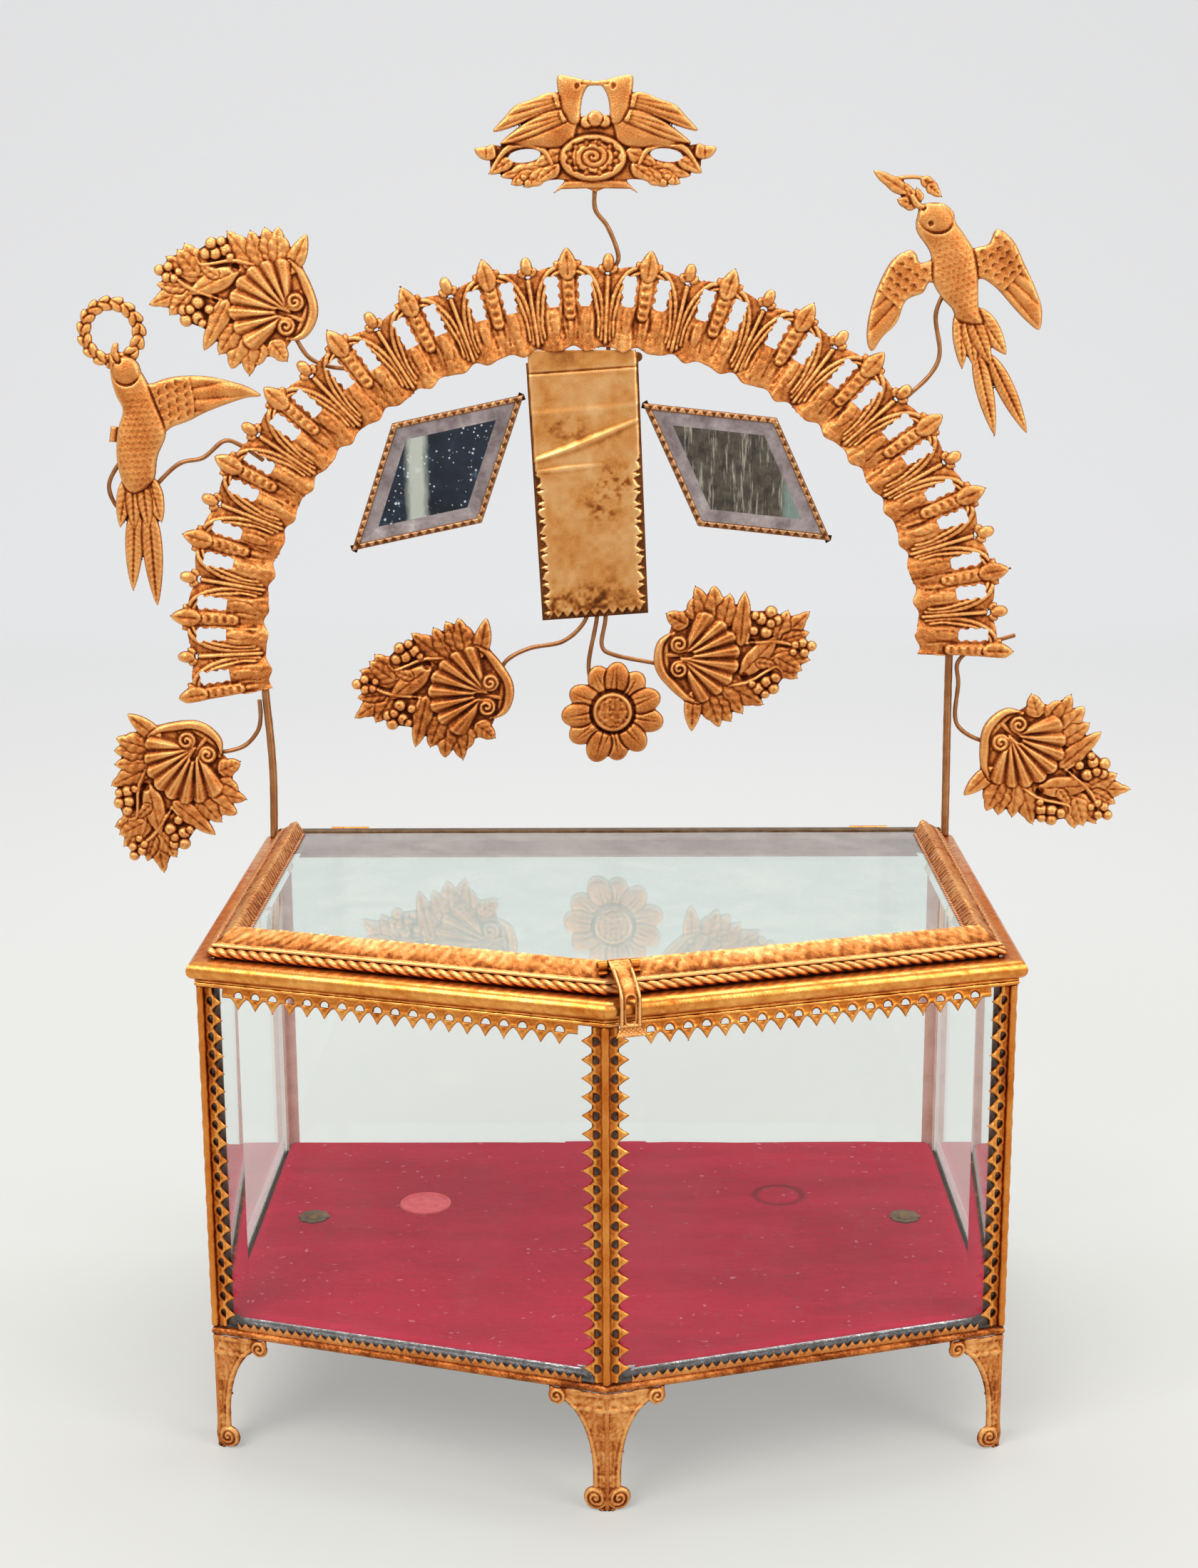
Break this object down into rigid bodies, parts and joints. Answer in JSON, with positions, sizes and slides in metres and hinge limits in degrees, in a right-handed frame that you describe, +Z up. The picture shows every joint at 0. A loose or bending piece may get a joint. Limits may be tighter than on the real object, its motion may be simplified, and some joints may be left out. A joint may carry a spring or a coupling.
{
  "type": "glass casket box",
  "caption": "Five-sided casket of bevelled glass panes in stamped brass trim on scrolled feet, with a hinged glass lid and an arched crest of stamped ornaments.",
  "frame": {"origin": "centre of the bounding box on the ground plane under the feet", "axes": "+X to the right seen from the front, +Y towards the back pane and crest, +Z up"},
  "size_m": [0.4238, 0.2285, 0.4819],
  "materials": {
    "stamped_brass": "aged, coppery orange",
    "gilt_brass": "aged, golden",
    "copper_strip": "aged, coppery pink",
    "dark_brass": "tarnished",
    "bevelled_glass": "clear, polished bevels",
    "mirror": "worn silvering",
    "crimson_velvet": "short pile",
    "red_enamel": "glossy"
  },
  "bodies": {
    "casket": {"base_plate": "dark_brass", "velvet_pad": "crimson_velvet", "red_disc": "red_enamel", "floor_studs": "dark_brass", "glass_left": "bevelled_glass", "glass_front_left": "bevelled_glass", "glass_front_right": "bevelled_glass", "glass_right": "bevelled_glass", "glass_back": "bevelled_glass", "post_back_left": "gilt_brass", "post_front_left": "gilt_brass", "post_front": "gilt_brass", "post_front_right": "gilt_brass", "post_back_right": "gilt_brass", "rim_left": "gilt_brass", "rim_front_left": "gilt_brass", "rim_front_right": "gilt_brass", "rim_right": "gilt_brass", "rim_back": "gilt_brass", "sill_left": "stamped_brass", "sill_front_left": "stamped_brass", "sill_front_right": "stamped_brass", "sill_right": "stamped_brass", "sill_back": "stamped_brass", "foot_back_left": "stamped_brass", "foot_front_left": "stamped_brass", "foot_front": "stamped_brass", "foot_front_right": "stamped_brass", "foot_back_right": "stamped_brass", "body_hinges": "gilt_brass", "hinge_pins": "copper_strip", "upright_left": "stamped_brass", "upright_right": "stamped_brass", "arch_band": "stamped_brass", "doves": "stamped_brass", "bird_right": "stamped_brass", "bird_left": "stamped_brass", "flower": "stamped_brass", "centre_plate": "gilt_brass", "crest_wires": "copper_strip", "spray_upper_left": "stamped_brass", "spray_lower_left": "stamped_brass", "spray_lower_right": "stamped_brass", "spray_inner_left": "stamped_brass", "spray_inner_right": "stamped_brass", "mirror_frame_left": "copper_strip", "mirror_frame_right": "copper_strip", "mirror_left": "mirror", "mirror_right": "mirror"},
    "lid": {"lid_glass": "bevelled_glass", "lid_rail_left": "copper_strip", "lid_rail_front_left": "copper_strip", "lid_rail_front_right": "copper_strip", "lid_rail_right": "copper_strip", "lid_rail_back": "dark_brass", "lid_rope": "copper_strip", "lid_hinges": "gilt_brass", "hasp_hinge": "gilt_brass", "hasp_pin": "copper_strip"},
    "hasp": {"hasp": "gilt_brass"}
  },
  "joints": [
    {"name": "lid_hinge", "type": "hinge", "parent": "casket", "child": "lid", "pos_m": [0, 0.1107, 0.1829], "axis": [-1, 0, 0], "range_deg": [0, 78]},
    {"name": "hasp_swing", "type": "hinge", "parent": "lid", "child": "hasp", "pos_m": [0.00427, -0.09867, 0.1904], "axis": [-0.954, -0.2998, 0], "range_deg": [0, 100]}
  ]
}
